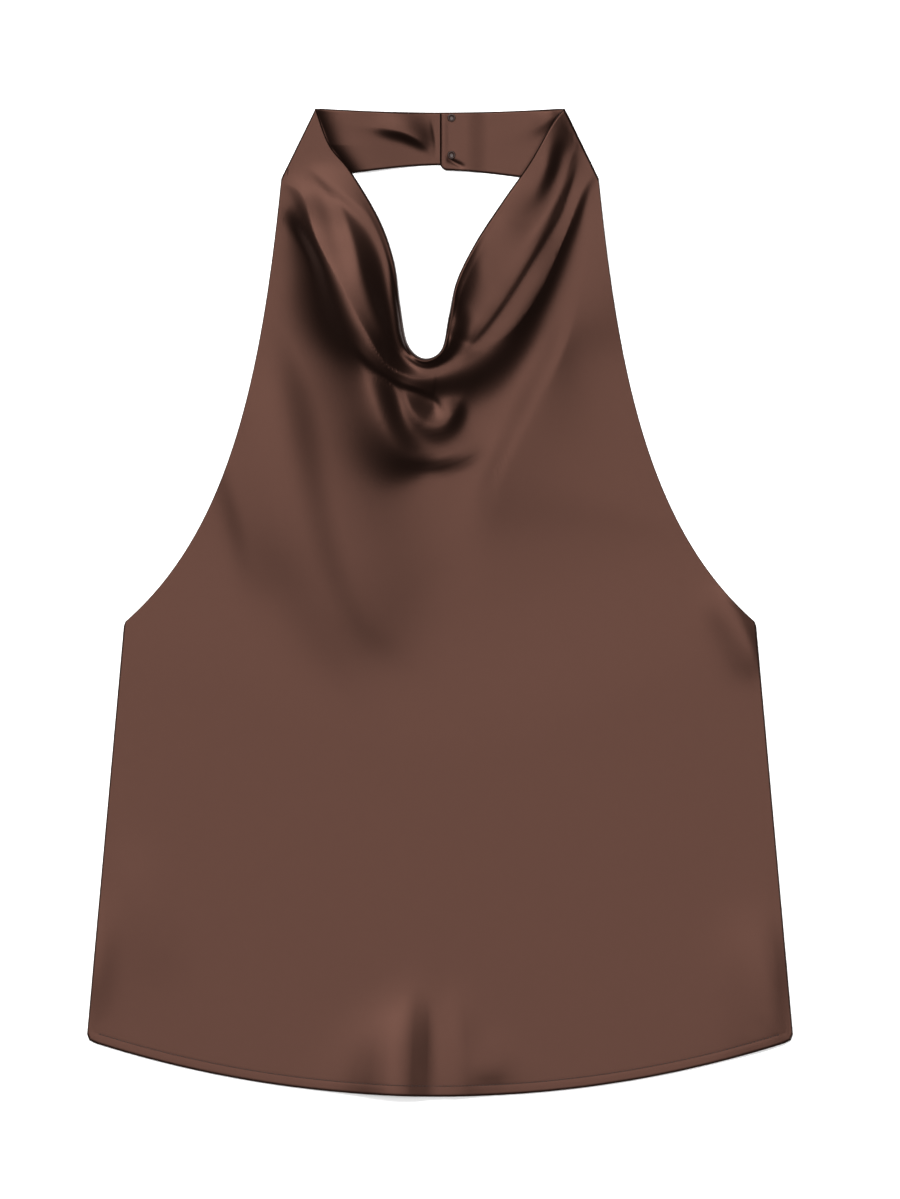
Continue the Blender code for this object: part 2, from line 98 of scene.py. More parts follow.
# The folds.  Each row is a station of a fold's crest, with the columns x, y, rise, inner, outer and
# flank.  inner is the fold's width on the left of the way that the stations run, outer the width on the
# right, and flank how squarely it falls away there.  Round the cowl the stations run anticlockwise, so
# the neckline is on the inner side.
FOLDS = {
    "cowl_bulge": (
        (-104, 279.1, 0, 20, 12, 2.2), (-82.7, 240, 3.7, 27, 5.3, 2.4), (-51.3, 185, 3, 20, 19.9, 2.5),
        (-16.5, 131.4, 0.5, 20.8, 17.9, 2), (38.7, 157.9, 0.5, 30, 11.7, 2.6), (64.9, 206, -3, 40, 40, 2),
        (102, 280.5, 0, 20, 12, 2.2)),
    "first_swag": (
        (-106.1, 285.9, 0, 9, 4, 1.4), (-92.9, 276.2, 2.5, 14, 8.3, 1.6), (-83.1, 246.8, 9, 30, 12, 1.3),
        (-67, 216, 11, 30, 22, 1.4), (-50.4, 184.5, 10.5, 22, 14, 1.5), (-33.3, 160.2, 6.5, 16, 6, 1.4),
        (-7.5, 153.6, 9, 16, 13, 1.6), (20.5, 166.9, 7.8, 18.1, 18.2, 2.4),
        (47.2, 184.3, 9.7, 15.1, 15.1, 1.5), (67.1, 210.9, 8.9, 14.7, 14.4, 1.1),
        (83.9, 247.5, 5, 14.5, 7.1, 1.3), (96.5, 280.5, 1.5, 17.4, 4.2, 2.1), (106.1, 294.1, 0, 9, 5, 1.4)),
    "inner_left": (
        (-87, 296.8, 0, 10, 6, 1.6), (-69.4, 273.7, 2.2, 20, 7, 1.8), (-58.5, 246.5, 4.6, 24, 9, 1.8),
        (-50.3, 217.3, 5.6, 24, 10, 1.8), (-39.4, 190.1, 4.4, 18, 8, 1.8), (-27.9, 171.7, 1.6, 12, 5, 1.6),
        (-15.6, 163.5, 0, 8, 4, 1.4)),
    "inner_right": (
        (19, 175.8, 0, 10, 3, 1.4), (25.8, 194.6, 7.6, 28.6, 14.6, 2.3), (50.4, 234.2, 12.2, 60, 22.6, 2.5),
        (75, 267.8, 2.4, 60, 3.6, 3), (86.5, 294.9, 2.1, 13.1, 7.4, 1.2), (92.5, 311.1, 0, 10, 3, 1.4)),
    "strip_fold": (
        (45.6, 260.1, 0, 14, 8, 1.6), (52.9, 277.1, 4.5, 33.2, 26.9, 1.9), (65.8, 292.3, 5.9, 60, 9.2, 3),
        (70.7, 311.2, 8.6, 31.9, 13.8, 3), (76.8, 327.9, 5.9, 43.8, 25.6, 1.1), (87, 333.5, 0, 10, 5, 1.6)),
    "second_swag": (
        (-85, 236.3, 0, 18, 16, 1.6), (-74.1, 211.1, 5, 19, 24, 1.6), (-64.6, 187.3, 9, 20, 28, 1.6),
        (-56.4, 167.6, 12, 20, 29, 1.6), (-49, 148.6, 13, 20, 29, 1.6), (-42.2, 129.5, 13, 20, 28, 1.6),
        (-35.4, 115.3, 11.5, 20, 26, 1.6), (-27.9, 105.7, 8.5, 20, 22, 1.6), (-19.7, 100.6, 5, 20, 11, 1.6),
        (-10.2, 97.9, 3.4, 20, 5.5, 1.6), (2, 96.9, 2.6, 20, 4.5, 1.6), (17, 100.3, 1.7, 18, 4.5, 1.6),
        (35.4, 110.5, 0, 16, 5, 1.6)),
    "crease_c": (
        (-59.8, 178.5, 0, 10, 3, 2), (-50.3, 166.9, 1.2, 12, 2.6, 2), (-38.1, 156.7, 1.6, 12, 2.6, 2),
        (-25.8, 149.9, 1.6, 12, 2.6, 2), (-13.6, 145.9, 1.4, 12, 2.6, 2), (-2.7, 140.4, 1, 12, 2.8, 2),
        (4.8, 132.9, 0.5, 10, 3, 2), (8.2, 125.5, 0, 8, 3, 2)),
    "pocket_lobe": (
        (-27.9, 154, 0, 12, 5, 1.8), (-23.1, 141.8, 3.2, 13, 5.5, 1.8), (-17.7, 130.2, 4.8, 13, 6.5, 1.8),
        (-8.8, 122.7, 5.4, 13, 10, 1.8), (0.7, 122.1, 5.2, 13, 10, 1.8), (8.2, 128.9, 4.2, 13, 7, 1.7),
        (14.3, 139.1, 0, 12, 5, 1.6)),
    "chest_crest_right": (
        (35.4, 42.5, 0, 24, 40, 2), (42.7, 83.9, 3.2, 13, 60, 1.1), (64.1, 130.3, 3.6, 13, 32.1, 1.5),
        (85.8, 177.4, 4, 15, 19.3, 1.2), (104, 238.8, 3.6, 23.6, 60, 2), (108.8, 273.7, 0, 14, 30, 2)),
    "chest_drag_left": (
        (-106.1, 185.3, 0, 40, 12, 1.8), (-84, 141.5, 3.6, 34, 20, 2.2), (-70, 86.5, 4.6, 38, 22, 2.2),
        (-56.8, 34, 3.6, 44, 22, 2.3), (-40.8, -7.2, 2, 44, 20, 2.3), (-13.6, -32.3, 0, 50, 14, 1.8)),
    "neck_roll": (
        (-92.5, 297.5, 0, 6, 4, 1.6), (-69.2, 281.5, 1.5, 12.9, 4.9, 2.2), (-47.4, 262, 2.4, 16.8, 6, 2.2),
        (-36.4, 236, 2.6, 16.1, 4.3, 1.5), (-31.6, 202.1, 2.2, 4, 3.6, 1.6), (-26, 175.1, 3, 4, 3.8, 1.7),
        (-12.2, 164.2, 5.5, 8.3, 3.8, 1.4), (0.2, 169.3, 8.5, 8.1, 4.4, 1.4),
        (5.9, 185.9, 11, 14.3, 10.9, 1.9), (9.1, 202.6, 11, 5.4, 9.7, 1.1),
        (11.6, 219.8, 8.5, 6.3, 11.8, 1.6), (18.4, 236.6, 3.5, 7.2, 9, 1.8), (29.2, 251.9, 0, 6, 6, 1.6)),
    "right_crease": (
        (17.7, 173.7, 0, 10, 2.2, 2), (32, 190.7, 0.7, 14, 2.2, 2), (44.2, 207.7, 0.9, 15, 2.2, 2),
        (57.8, 229.5, 1, 16, 2.2, 2), (69.4, 248.5, 0.9, 16, 2.2, 2), (79.6, 265.5, 0.7, 14, 2.2, 2),
        (86.4, 283.9, 0.5, 12, 2.2, 2), (91.1, 300.9, 0, 10, 2.2, 2)),
}

# Shallow folds and drags of the chest, sides and hem, in the same columns.
SOFT_FOLDS = {
    "chest_drag": (
        (-128, 165, 0, 50, 22, 2), (-117, 122, 3.2, 56, 28, 2), (-104, 78, 4, 60, 30, 2),
        (-89, 34, 3.8, 60, 30, 2), (-69, -10, 3, 56, 28, 2), (-46, -56, 0, 50, 20, 2)),
    "hem_dimple": (
        (-29, -352, 8.6, 30, 24, 1.8), (-28, -330, 8.6, 30, 23, 1.8), (-25, -306, 7, 26, 19, 1.8),
        (-20, -285, 3.6, 20, 11, 1.8), (-15, -262, 0, 14, 7, 2)),
    "hem_ridge": (
        (8, -262, 0, 14, 6, 2), (8, -285, 1.6, 14, 7, 2), (9, -310, 2.6, 14, 9, 1.8),
        (9, -350, 3, 14, 10, 1.8)),
    "left_drag": (
        (-184, -264, 0, 26, 15, 2), (-190, -234, 0.8, 28, 16, 2), (-201, -196, 1, 28, 16, 2),
        (-214, -158, 0, 24, 15, 2)),
    "right_side": (
        (221, -322, 0, 24, 12, 2), (222, -300, 1.8, 26, 13, 2), (221, -270, 2.6, 26, 14, 2),
        (220, -240, 2.4, 26, 14, 2), (215, -205, 0, 24, 12, 2)),
    "left_side": (
        (-229, -200, 0, 12, 12, 2), (-231, -226, 1.5, 12, 12, 2), (-233, -252, 1.7, 12, 12, 2),
        (-236, -284, 0, 12, 12, 2)),
    "right_underarm": (
        (214, -54, 0, 16, 7, 2), (210, -34, 2, 16, 8, 2), (203, -16, 2.4, 16, 9, 2), (194, 0, 2, 16, 8, 2),
        (183, 12, 0, 14, 7, 2)),
    "left_armhole": (
        (-150, 118, 0, 24, 10, 2), (-140, 80, 1.4, 26, 11, 2), (-130, 44, 1.5, 26, 12, 2),
        (-124, 0, 0, 26, 12, 2)),
    "hem_spot": ((20, -306, 0, 14, 10, 2), (34, -314, 1.8, 15, 12, 2), (50, -319, 0, 14, 10, 2)),
}
INNER_POWER = 2.0           # how a fold falls away on its inner side: a soft bell
BLEND = 0.35                # how far a crest's points are averaged, as a share of the fold's width
STATION_STEPS = 24          # points worked out between two stations
FOLD_REACH = 4              # a fold is worked out up to this many of its widths from its crest

HEM_WIDTH = 7.2             # from the hem's folded edge up to its stitches
HEM_FULLNESS = 0.08         # how far the doubled cloth of the hem stands proud
HEM_STEP = 2.4              # the way it needs to come down again above the stitches
STITCH_DENT = 0.04          # how deep the stitches pull the cloth in
STITCH_DENT_WIDTH = 0.8
NECK_BEAD = 0.4             # height of the roll along the neckline, where the cloth is turned in
NECK_BEAD_IN = 1.5          # how far in from the neckline its middle lies
NECK_BEAD_WIDTH = 0.9
NECK_CREASE = 0.25          # depth of the crease behind that roll
NECK_CREASE_IN = 3.4
NECK_CREASE_WIDTH = 0.7
NECK_BEAD_TOP = 285.0       # both show below this height
NECK_BEAD_FADE = 60.0       # and are full this far below it
EDGE_ROUND = 1.3            # how far in from an edge the cloth starts to turn down
EDGE_DROP = 0.8             # how far it turns down there
RIM_WAY = 6.0               # within this way of an edge the wall's thickness leans less and less sideways

FRONT_COLUMNS = 257
CREST_ROW = 36              # the row that follows the crest of the first swag
CREST_SHARES = (0.04, 0.8)  # it stays between these shares of each grid line
OUTER_ROWS = 84             # rows from there to the edge's own rows
EDGE_ROWS = (16.0, 12.0, 9.6, 8.4, 7.8, 7.2, 6.6, 6.0, 4.8, 3.4, 2.2, 1.3, 0.8, 0.4, 0.15, 0.0)
NECK_ROWS = (0.0, 0.15, 0.4, 0.8, 1.3, 2.0)
SIDE_POINTS = 60            # points of the outline's side edge, hem corner, half hem and armhole
CORNER_POINTS = 12
HALF_HEM_POINTS = 90
ARMHOLE_POINTS = 80
LINE_POINTS = 200           # points tried along a grid line to find where the crest crosses it
GRID_COLUMNS = 61           # the coarser grid that is evened out first
GRID_ROWS = 21
GRID_ROUNDS = 600
GRID_SLIDE = 0.9            # how much of the way to its even place a point goes in each round
ROW_CROWDING = 1.5          # above 1, the rows outside that crest lie closer together near it


def between(before, start, end, after, t):
    """Catmull-Rom: the point at t between start and end, 0 to 1, bent by the points before and after."""
    return 0.5 * (
        2 * start
        + (end - before) * t
        + (2 * before - 5 * start + 4 * end - after) * t ** 2
        + (3 * start - before - 3 * end + after) * t ** 3
    )


def smooth_curve(stations):
    """A smooth curve through the stations; every column is carried along with x and y."""
    rows = np.asarray(stations, float)
    rows = np.vstack([2 * rows[0] - rows[1], rows, 2 * rows[-1] - rows[-2]])
    t = np.linspace(0, 1, STATION_STEPS, endpoint=False)[None, :, None]
    curve = between(rows[:-3, None], rows[1:-2, None], rows[2:-1, None], rows[3:, None], t)
    return np.vstack([curve.reshape(-1, rows.shape[1]), rows[-2]])


def run_lengths(curve):
    """Length run along a line of points, from 0 at its start."""
    steps = np.linalg.norm(np.diff(curve[:, :2], axis=0), axis=1)
    return np.concatenate([[0.0], np.cumsum(steps)])


def along(curve, share):
    """Points of a curve at shares of its length, 0 at its start and 1 at its end."""
    length = run_lengths(curve)
    at = np.asarray(share) * length[-1]
    return np.stack([np.interp(at, length, column) for column in curve.T], axis=-1)


def share_of(curve, point):
    """The share of a curve's length at which it comes closest to a point."""
    length = run_lengths(curve)
    nearest = np.linalg.norm(curve - np.asarray(point), axis=1).argmin()
    return length[nearest] / length[-1]


def bezier(a, b, c, d, count):
    """Cubic curve of count points from a to d, leaving towards b and arriving from c."""
    t = np.linspace(0, 1, count)[:, None]
    a, b, c, d = (np.asarray(p, float) for p in (a, b, c, d))
    return (1 - t) ** 3 * a + 3 * t * (1 - t) ** 2 * b + 3 * t ** 2 * (1 - t) * c + t ** 3 * d


def hem_y(x):
    """The hem at x: an arc that drops HEM_SAG between its corners, which are quarters of a circle."""
    half = HEM / 2 - HEM_CORNER
    radius = (half ** 2 + HEM_SAG ** 2) / (2 * HEM_SAG)
    arc = HEM_Y + radius - np.sqrt(radius ** 2 - np.minimum(np.abs(x), half) ** 2)
    past = np.clip((np.abs(x) - half) / HEM_CORNER, 0, 1)
    return arc + HEM_CORNER * (1 - np.sqrt(1 - past ** 2))


SIDE_END_Y = hem_y(HEM / 2)


def side_x(y):
    """Half width of the garment on its straight side edges, from the underarm down."""
    down = (UNDERARM_Y - y) / (UNDERARM_Y - SIDE_END_Y)
    return CHEST / 2 + (HEM - CHEST) / 2 * np.clip(down, 0, 1)


def outer_edge():
    """The front's whole outer edge: left knee, armhole, side, hem, side, armhole, right knee."""
    armhole = bezier(KNEE, *ARMHOLE, (CHEST / 2 - 1, UNDERARM_Y + 3), ARMHOLE_POINTS)
    side_y = np.linspace(UNDERARM_Y, SIDE_END_Y, SIDE_POINTS)
    side = np.stack([side_x(side_y), side_y], axis=-1)
    corner_x = HEM / 2 - HEM_CORNER * (1 - np.cos(np.linspace(0, np.pi / 2, CORNER_POINTS)))
    hem_x = np.concatenate([corner_x, np.linspace(corner_x[-1], 0, HALF_HEM_POINTS)[1:]])
    hem = np.stack([hem_x, hem_y(hem_x)], axis=-1)
    right = np.vstack([armhole, side, hem[1:]])
    return np.vstack([right * (-1, 1), right[-2::-1]])


def even_out(grid):
    """Slide the inner points of a grid until its lines run evenly and none cross.

    Each point moves towards the place that the Winslow equations give it between its neighbours.
    """
    for _ in range(GRID_ROUNDS):
        across = (grid[2:, 1:-1] - grid[:-2, 1:-1]) / 2
        outward = (grid[1:-1, 2:] - grid[1:-1, :-2]) / 2
        twist = (grid[2:, 2:] - grid[2:, :-2] - grid[:-2, 2:] + grid[:-2, :-2]) / 4
        a = (outward ** 2).sum(-1, keepdims=True)
        b = (across * outward).sum(-1, keepdims=True)
        c = (across ** 2).sum(-1, keepdims=True)
        evened = (
            a * (grid[2:, 1:-1] + grid[:-2, 1:-1])
            + c * (grid[1:-1, 2:] + grid[1:-1, :-2])
            - 2 * b * twist
        )
        grid[1:-1, 1:-1] += GRID_SLIDE * (evened / (2 * (a + c)) - grid[1:-1, 1:-1])
    return grid


def at_index(points, u):
    """Points between the members of a list, u from 0 at the first to 1 at the last, on a smooth line."""
    at = u * (len(points) - 1)
    padded = np.vstack([2 * points[0] - points[1], points, 2 * points[-1] - points[-2]])
    first = np.minimum(at.astype(int), len(points) - 2)
    t = (at - first)[:, None]
    return between(*(padded[first + k] for k in range(4)), t)


def row_shares(line, crest):
    """Shares of a grid line at which the rows cross it.

    One row follows the first swag's crest.  A few rows lie at set distances from the neckline and from
    the outer edge, where the cloth turns down and the hem is stitched.
    """
    length = run_lengths(line)[-1]
    shares = np.linspace(0, 1, LINE_POINTS)
    distance = np.linalg.norm(along(line, shares)[:, None] - crest, axis=-1).min(axis=1)
    at_crest = np.clip(shares[distance.argmin()], *CREST_SHARES)
    neck = np.asarray(NECK_ROWS) / length * min(1.0, at_crest * length / (2 * NECK_ROWS[-1]))
    edge = 1 - np.asarray(EDGE_ROWS) / length * min(1.0, (1 - at_crest) * length / (2 * EDGE_ROWS[0]))
    inside = neck[-1] + (at_crest - neck[-1]) * np.linspace(0, 1, CREST_ROW - len(neck) + 2)
    outside = at_crest + (edge[0] - at_crest) * np.linspace(0, 1, OUTER_ROWS) ** ROW_CROWDING
    return np.concatenate([neck, inside[1:], outside[1:], edge[1:]])


def front_plan():
    """The front seen from above: columns fan out from the neckline, rows run round it like swags."""
    neckline = smooth_curve(NECKLINE)
    edge = outer_edge()
    half = np.asarray(GRID_LINES)
    lines = np.vstack([0.5 - half[:0:-1], 0.5 + half])
    place = lines.mean(axis=1)
    u = np.linspace(0, 1, GRID_COLUMNS)
    inner = along(neckline, np.interp(u, place, lines[:, 0]))
    outer = along(edge, np.interp(u, place, lines[:, 1]))
    v = np.linspace(0, 1, GRID_ROWS)[None, :, None]
    coarse = even_out(inner[:, None] * (1 - v) + outer[:, None] * v)

    u = np.linspace(0, 1, FRONT_COLUMNS)
    rings = np.stack([at_index(coarse[:, j], u) for j in range(GRID_ROWS)], axis=1)
    # the two boundary rows are taken from the curves themselves, with a column on each corner
    rings[:, 0] = along(neckline, np.interp(u, place, lines[:, 0]))
    ends = np.interp(u, place, lines[:, 1])
    taken = []
    hem_start = HEM / 2 - HEM_CORNER
    for corner in ((CHEST / 2, UNDERARM_Y), (HEM / 2, SIDE_END_Y), (hem_start, hem_y(hem_start))):
        for point in (corner, (-corner[0], corner[1])):
            share = share_of(edge, point)
            distance = np.abs(ends - share)
            distance[taken] = 1
            taken.append(distance.argmin())
            ends[taken[-1]] = share
    rings[:, -1] = along(edge, np.sort(ends))
    crest = smooth_curve(FOLDS["first_swag"])[:, :2]
    fine = [at_index(line, np.linspace(0, 1, 8 * GRID_ROWS)) for line in rings]
    return np.stack([along(line, row_shares(line, crest)) for line in fine])


def ease_step(x):
    """0 below 0, 1 above 1, and a soft step between."""
    x = np.clip(x, 0, 1)
    return x * x * (3 - 2 * x)


def back_top_y(x):
    """Top edge of the back panel: highest at the side seams, lowest in the middle."""
    return BACK_TOP_Y - BACK_SCOOP * np.cos(np.clip(x / (CHEST / 2), -1, 1) * np.pi / 2) ** 2


def band_edges(x, height):
    """Top and bottom edges of half of the neckband at x, from its height at the closure."""
    outward = np.abs(x) / CORNER[0]
    top = TOP_Y - BAND_SAG * (1 - outward ** 2)
    bottom = TOP_Y - BAND_SAG - height - BAND_WIDENING * ease_step(outward / BAND_WIDE_AT)
    return top, bottom


def resting_height(plan):
    """Height of the front's underside where it lies flat: on the back panel, the neckband or the floor."""
    x, y = plan[..., 0], plan[..., 1]
    above_back = y - back_top_y(x)
    below_band = band_edges(KNEE[0], BAND_HEIGHT_RIGHT)[1] - y
    on_back = ease_step(1 - (above_back - EASE) / BACK_EASE)
    on_band = ease_step(1 - below_band / BAND_EASE)
    return STEP_UP * np.maximum(on_back, on_band)


def fold_height(plan, stations):
    """Height that one fold adds: its rise, falling off with the distance from the crest line.

    Each point takes the mean over the crest's points, weighted towards the nearest ones, of the height
    that a straight fold through that crest point would give it.
    """
    crest = smooth_curve(stations)
    heading = np.gradient(crest[:, :2], axis=0)
    heading /= np.linalg.norm(heading, axis=1)[:, None]
    rise, inner, outer, flank = crest[:, 2:].T
    reach = BLEND * (inner + outer) / 2
    height = np.zeros(plan.shape[:-1])
    for column in range(len(plan)):
        away = plan[column, :, None, :] - crest[:, :2]
        squared = (away ** 2).sum(-1)
        near = squared.min(axis=1) < (FOLD_REACH * np.maximum(inner, outer).max()) ** 2
        away, squared = away[near], squared[near]
        offset = heading[:, 0] * away[..., 1] - heading[:, 1] * away[..., 0]
        width = np.where(offset > 0, inner, outer)
        power = np.where(offset > 0, INNER_POWER, flank)
        weight = np.exp((squared.min(-1, keepdims=True) - squared) / (2 * reach ** 2))
        straight = rise * np.exp(-(np.abs(offset) / width) ** power)
        height[column, near] = (weight * straight).sum(-1) / weight.sum(-1)
    return height


def surface_normals(points):
    """Unit normals of a grid of points, turned upwards."""
    normals = np.cross(np.gradient(points, axis=0), np.gradient(points, axis=1))
    normals *= np.sign(normals[..., 2:])
    return normals / np.linalg.norm(normals, axis=-1, keepdims=True)


def cloth_shell(name, top, wall, material, plan):
    """A closed shell of cloth: its top face is the grid of points, its lower face lies wall under it.

    Each cell is split along the diagonal whose ends differ less in height.  The UV map holds the plan,
    in metres, so that a weave runs straight in the cloth.
    """
    below = top - surface_normals(top) * wall
    columns, rows = top.shape[:2]
    index = np.arange(columns * rows).reshape(columns, rows)
    a, b, c, d = index[:-1, :-1], index[1:, :-1], index[1:, 1:], index[:-1, 1:]
    z = top[..., 2].ravel()
    first = (np.abs(z[a] - z[c]) <= np.abs(z[b] - z[d]))[..., None]
    one = np.where(first, np.stack([a, b, c], -1), np.stack([a, b, d], -1)).reshape(-1, 3)
    two = np.where(first, np.stack([a, c, d], -1), np.stack([b, c, d], -1)).reshape(-1, 3)
    cells = np.concatenate([one, two])
    rim = np.concatenate([index[:, 0], index[-1, 1:], index[-2::-1, -1], index[0, -2:0:-1]])
    if np.cross(top[1, 0, :2] - top[0, 0, :2], top[0, 1, :2] - top[0, 0, :2]) < 0:
        cells, rim = cells[:, ::-1], rim[::-1]
    after = np.roll(rim, -1)
    lift = columns * rows
    sides = np.concatenate([
        np.stack([rim, rim + lift, after + lift], -1), np.stack([rim, after + lift, after], -1)])
    faces = np.concatenate([cells, cells[:, ::-1] + lift, sides])
    points = np.concatenate([top.reshape(-1, 3), below.reshape(-1, 3)])
    flat = np.tile(plan.reshape(-1, 2), (2, 1))
    return make_piece(name, points, faces, material, flat)


def make_piece(name, points, faces, material, flat=None):
    """A smooth-shaded mesh object from points in millimetres and triangles; flat gives its UV map."""
    mesh = bpy.data.meshes.new(name)
    mesh.vertices.add(len(points))
    mesh.vertices.foreach_set("co", (np.asarray(points) * MM).ravel())
    mesh.loops.add(faces.size)
    mesh.loops.foreach_set("vertex_index", faces.ravel().astype(np.int32))
    mesh.polygons.add(len(faces))
    mesh.polygons.foreach_set("loop_start", np.arange(len(faces), dtype=np.int32) * faces.shape[1])
    mesh.update(calc_edges=True)
    if flat is not None:
        layer = mesh.uv_layers.new(name="cloth")
        layer.data.foreach_set("uv", (flat[faces.ravel()] * MM).ravel())
    mesh.shade_smooth()
    mesh.materials.append(material)
    piece = bpy.data.objects.new(name, mesh)
    bpy.context.scene.collection.objects.link(piece)
    return piece


SATIN_BROWN = (0.0325, 0.0160, 0.0120, 1.0)
SATIN_SHADE = (0.0285, 0.0138, 0.0101, 1.0)
SATIN_METALLIC = 0.9        # how much of the gloss is in the cloth's own colour
SATIN_ROUGHNESS = (0.39, 0.43)
THREAD_WIDTH = 0.00035      # of the satin's floats, in metres
THREAD_RELIEF = 0.00002
WEAVE_SHARE = 0.35          # how far the weave moves the colour, next to the soft clouding


def new_material(name):
    """A node material, its node tree and its shader."""
    material = bpy.data.materials.new(name)
    material.use_nodes = True
    return material, material.node_tree, material.node_tree.nodes["Principled BSDF"]


def two_tones(tree, factor, first, second):
    """The colour output of a node that goes from the first colour to the second as the factor rises."""
    tone = tree.nodes.new("ShaderNodeMix")
    tone.data_type = "RGBA"
    tone.inputs["A"].default_value = first
    tone.inputs["B"].default_value = second
    tree.links.new(factor, tone.inputs["Factor"])
    return tone.outputs["Result"]


def satin_weave():
    """Node group: the colour, roughness and fine relief of the satin.

    The cloth is cut on the bias, so its long floats run at 45 degrees.  Fine waves across them make the
    weave, and two soft noises make the cloth a little uneven in colour and in how it lies.
    """
    tree = bpy.data.node_groups.new("satin_weave", "ShaderNodeTree")
    socket = tree.interface.new_socket
    socket("Thread", in_out="INPUT", socket_type="NodeSocketFloat").default_value = THREAD_WIDTH
    socket("Relief", in_out="INPUT", socket_type="NodeSocketFloat").default_value = THREAD_RELIEF
    socket("Color", in_out="OUTPUT", socket_type="NodeSocketColor")
    socket("Roughness", in_out="OUTPUT", socket_type="NodeSocketFloat")
    socket("Normal", in_out="OUTPUT", socket_type="NodeSocketVector")
    add, link = tree.nodes.new, tree.links.new
    given, out = add("NodeGroupInput"), add("NodeGroupOutput")
    uv = add("ShaderNodeUVMap")
    uv.uv_map = "cloth"
    bias = add("ShaderNodeVectorRotate")
    bias.rotation_type = "Z_AXIS"
    bias.inputs["Angle"].default_value = np.radians(45)
    link(uv.outputs["UV"], bias.inputs["Vector"])
    per_thread = add("ShaderNodeMath")
    per_thread.operation = "DIVIDE"
    per_thread.inputs[0].default_value = 1.0
    link(given.outputs["Thread"], per_thread.inputs[1])
    scaled = add("ShaderNodeVectorMath")
    scaled.operation = "SCALE"
    link(bias.outputs["Vector"], scaled.inputs[0])
    link(per_thread.outputs[0], scaled.inputs["Scale"])
    floats = add("ShaderNodeTexWave")
    floats.wave_type, floats.bands_direction = "BANDS", "X"
    floats.inputs["Scale"].default_value = 0.3
    floats.inputs["Distortion"].default_value = 0.6
    floats.inputs["Detail"].default_value = 1.0
    link(scaled.outputs["Vector"], floats.inputs["Vector"])
    soft = add("ShaderNodeTexNoise")
    soft.inputs["Scale"].default_value = 14.0
    soft.inputs["Detail"].default_value = 2.0
    link(uv.outputs["UV"], soft.inputs["Vector"])
    mixed = add("ShaderNodeMath")
    mixed.operation = "MULTIPLY_ADD"
    mixed.inputs[1].default_value = WEAVE_SHARE
    link(floats.outputs["Fac"], mixed.inputs[0])
    link(soft.outputs["Fac"], mixed.inputs[2])
    rough = add("ShaderNodeMapRange")
    rough.inputs["To Min"].default_value = SATIN_ROUGHNESS[0]
    rough.inputs["To Max"].default_value = SATIN_ROUGHNESS[1]
    link(soft.outputs["Fac"], rough.inputs["Value"])
    weave = add("ShaderNodeBump")
    weave.inputs["Strength"].default_value = 0.25
    link(given.outputs["Relief"], weave.inputs["Distance"])
    link(floats.outputs["Fac"], weave.inputs["Height"])
    link(two_tones(tree, mixed.outputs[0], SATIN_SHADE, SATIN_BROWN), out.inputs["Color"])
    link(rough.outputs["Result"], out.inputs["Roughness"])
    link(weave.outputs["Normal"], out.inputs["Normal"])
    return tree


def satin(name, weave):
    """Brown satin: a broad soft gloss, most of it in the cloth's own colour."""
    material, tree, shader = new_material(name)
    group = tree.nodes.new("ShaderNodeGroup")
    group.node_tree = weave
    for socket, target in (("Color", "Base Color"), ("Roughness", "Roughness"), ("Normal", "Normal")):
        tree.links.new(group.outputs[socket], shader.inputs[target])
    shader.inputs["Metallic"].default_value = SATIN_METALLIC
    shader.inputs["Specular IOR Level"].default_value = 0.2
    return material


front_satin = satin("front_satin", satin_weave())


def edge_distances(plan):
    """Distances along each grid line of the plan, from the neckline and from the outer edge."""
    steps = np.linalg.norm(np.diff(plan, axis=1), axis=-1)
    from_neck = np.concatenate([np.zeros((len(plan), 1)), np.cumsum(steps, axis=1)], axis=1)
    return from_neck, from_neck[:, -1:] - from_neck


def edge_relief(plan):
    """How the front stands at its edges.

    It turns down over the last millimetre of every edge.  A small roll and the crease behind it run round
    the neckline, and the doubled hem stands a little proud below a dent where it is stitched.
    """
    from_neck, from_edge = edge_distances(plan)
    turned = -EDGE_DROP * (1 - np.clip(from_edge / EDGE_ROUND, 0, 1)) ** 2
    turned -= EDGE_DROP * (1 - np.clip(from_neck / EDGE_ROUND, 0, 1)) ** 2
    low_neck = ease_step((NECK_BEAD_TOP - plan[:, :1, 1]) / NECK_BEAD_FADE)
    turned += low_neck * NECK_BEAD * np.exp(-((from_neck - NECK_BEAD_IN) / NECK_BEAD_WIDTH) ** 2)
    turned -= low_neck * NECK_CREASE * np.exp(-((from_neck - NECK_CREASE_IN) / NECK_CREASE_WIDTH) ** 2)
    above_hem = plan[..., 1] - hem_y(plan[..., 0])
    doubled = HEM_FULLNESS * ease_step((HEM_WIDTH - above_hem) / HEM_STEP)
    dent = STITCH_DENT * np.exp(-((above_hem - HEM_WIDTH) / STITCH_DENT_WIDTH) ** 2)
    return turned + doubled - dent


def soft_rise(plan):
    """How far the shallow folds of the body rise at each point of the plan, all of them added up."""
    return np.maximum(sum(fold_height(plan, stations) for stations in SOFT_FOLDS.values()), 0)


def front_underside(plan):
    """Height of the front's underside at each point of the plan: where it rests, and its folds."""
    folds = sum(fold_height(plan, stations) for stations in FOLDS.values())
    return resting_height(plan) + np.maximum(folds, 0) + soft_rise(plan)


plan = front_plan()
form = np.concatenate([plan, front_underside(plan)[..., None]], axis=-1)
lift = surface_normals(form) * FRONT_TOP
lift[..., :2] *= ease_step(np.minimum(*edge_distances(plan)) / RIM_WAY)[..., None]
front_top = form + lift
front_top[..., 2] += edge_relief(plan)
front = cloth_shell("front_cloth", front_top, SATIN_WALL, front_satin, plan)
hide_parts("front_panel")
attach(front, "root")


